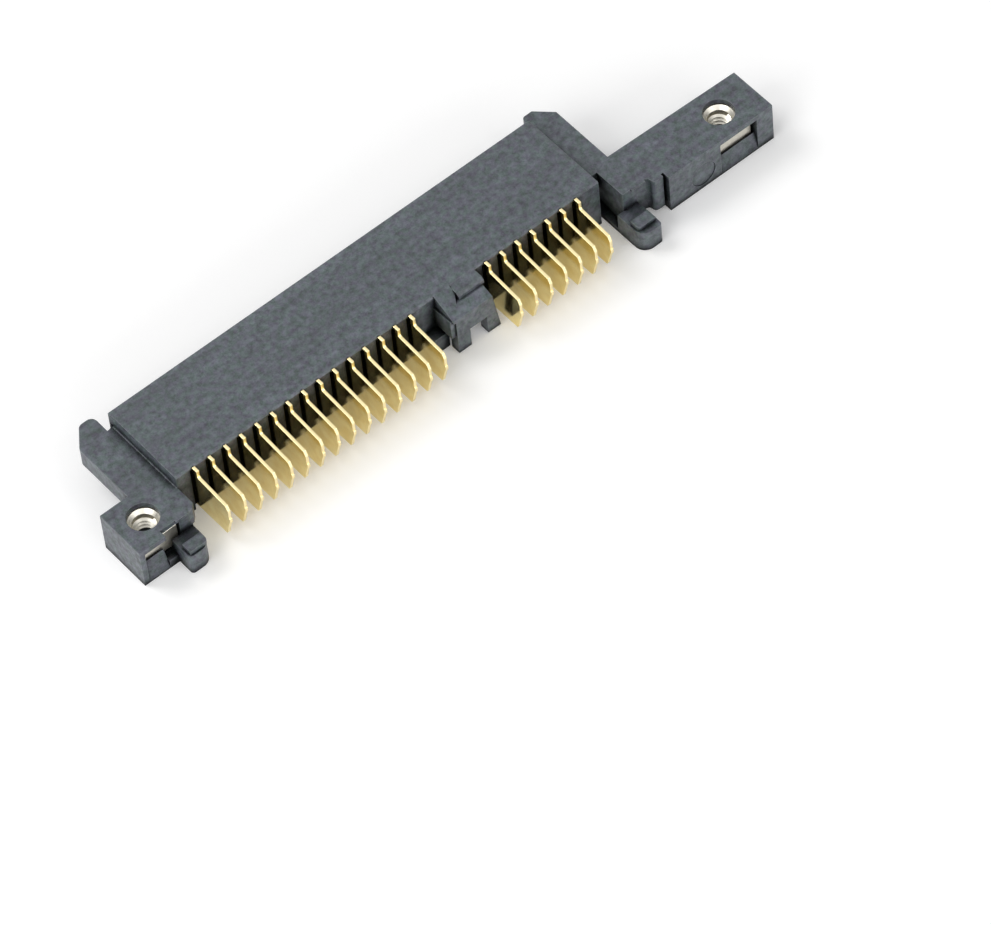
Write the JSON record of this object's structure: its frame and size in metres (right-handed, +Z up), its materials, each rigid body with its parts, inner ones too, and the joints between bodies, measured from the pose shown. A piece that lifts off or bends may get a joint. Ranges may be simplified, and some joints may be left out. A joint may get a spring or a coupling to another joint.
{
  "type": "serial ata receptacle connector",
  "caption": "Slim black receptacle with two keyed blade slots, spring contacts with upright rear blades, two guide posts and screw ears with captive nuts.",
  "frame": {"origin": "centre of the bounding box in plan, on the plane of the screw ears' undersides", "axes": "+X along the contact row from the power end to the signal end, +Y out of the mating face, +Z up through the screw holes"},
  "size_m": [0.0532, 0.012, 0.0045],
  "materials": {
    "housing_plastic": "black glass-filled high-temperature nylon, injection moulded with a fine matt texture",
    "contact_gold": "gold over nickel on stamped copper alloy, satin",
    "nut_nickel": "bright nickel plating on brass"
  },
  "bodies": {
    "root": {"housing": "housing_plastic", "contact_p15": "contact_gold", "contact_p14": "contact_gold", "contact_p13": "contact_gold", "contact_p12": "contact_gold", "contact_p11": "contact_gold", "contact_p10": "contact_gold", "contact_p9": "contact_gold", "contact_p8": "contact_gold", "contact_p7": "contact_gold", "contact_p6": "contact_gold", "contact_p5": "contact_gold", "contact_p4": "contact_gold", "contact_p3": "contact_gold", "contact_p2": "contact_gold", "contact_p1": "contact_gold", "contact_s7": "contact_gold", "contact_s6": "contact_gold", "contact_s5": "contact_gold", "contact_s4": "contact_gold", "contact_s3": "contact_gold", "contact_s2": "contact_gold", "contact_s1": "contact_gold", "nut_left": "nut_nickel", "nut_right": "nut_nickel"}
  },
  "joints": []
}
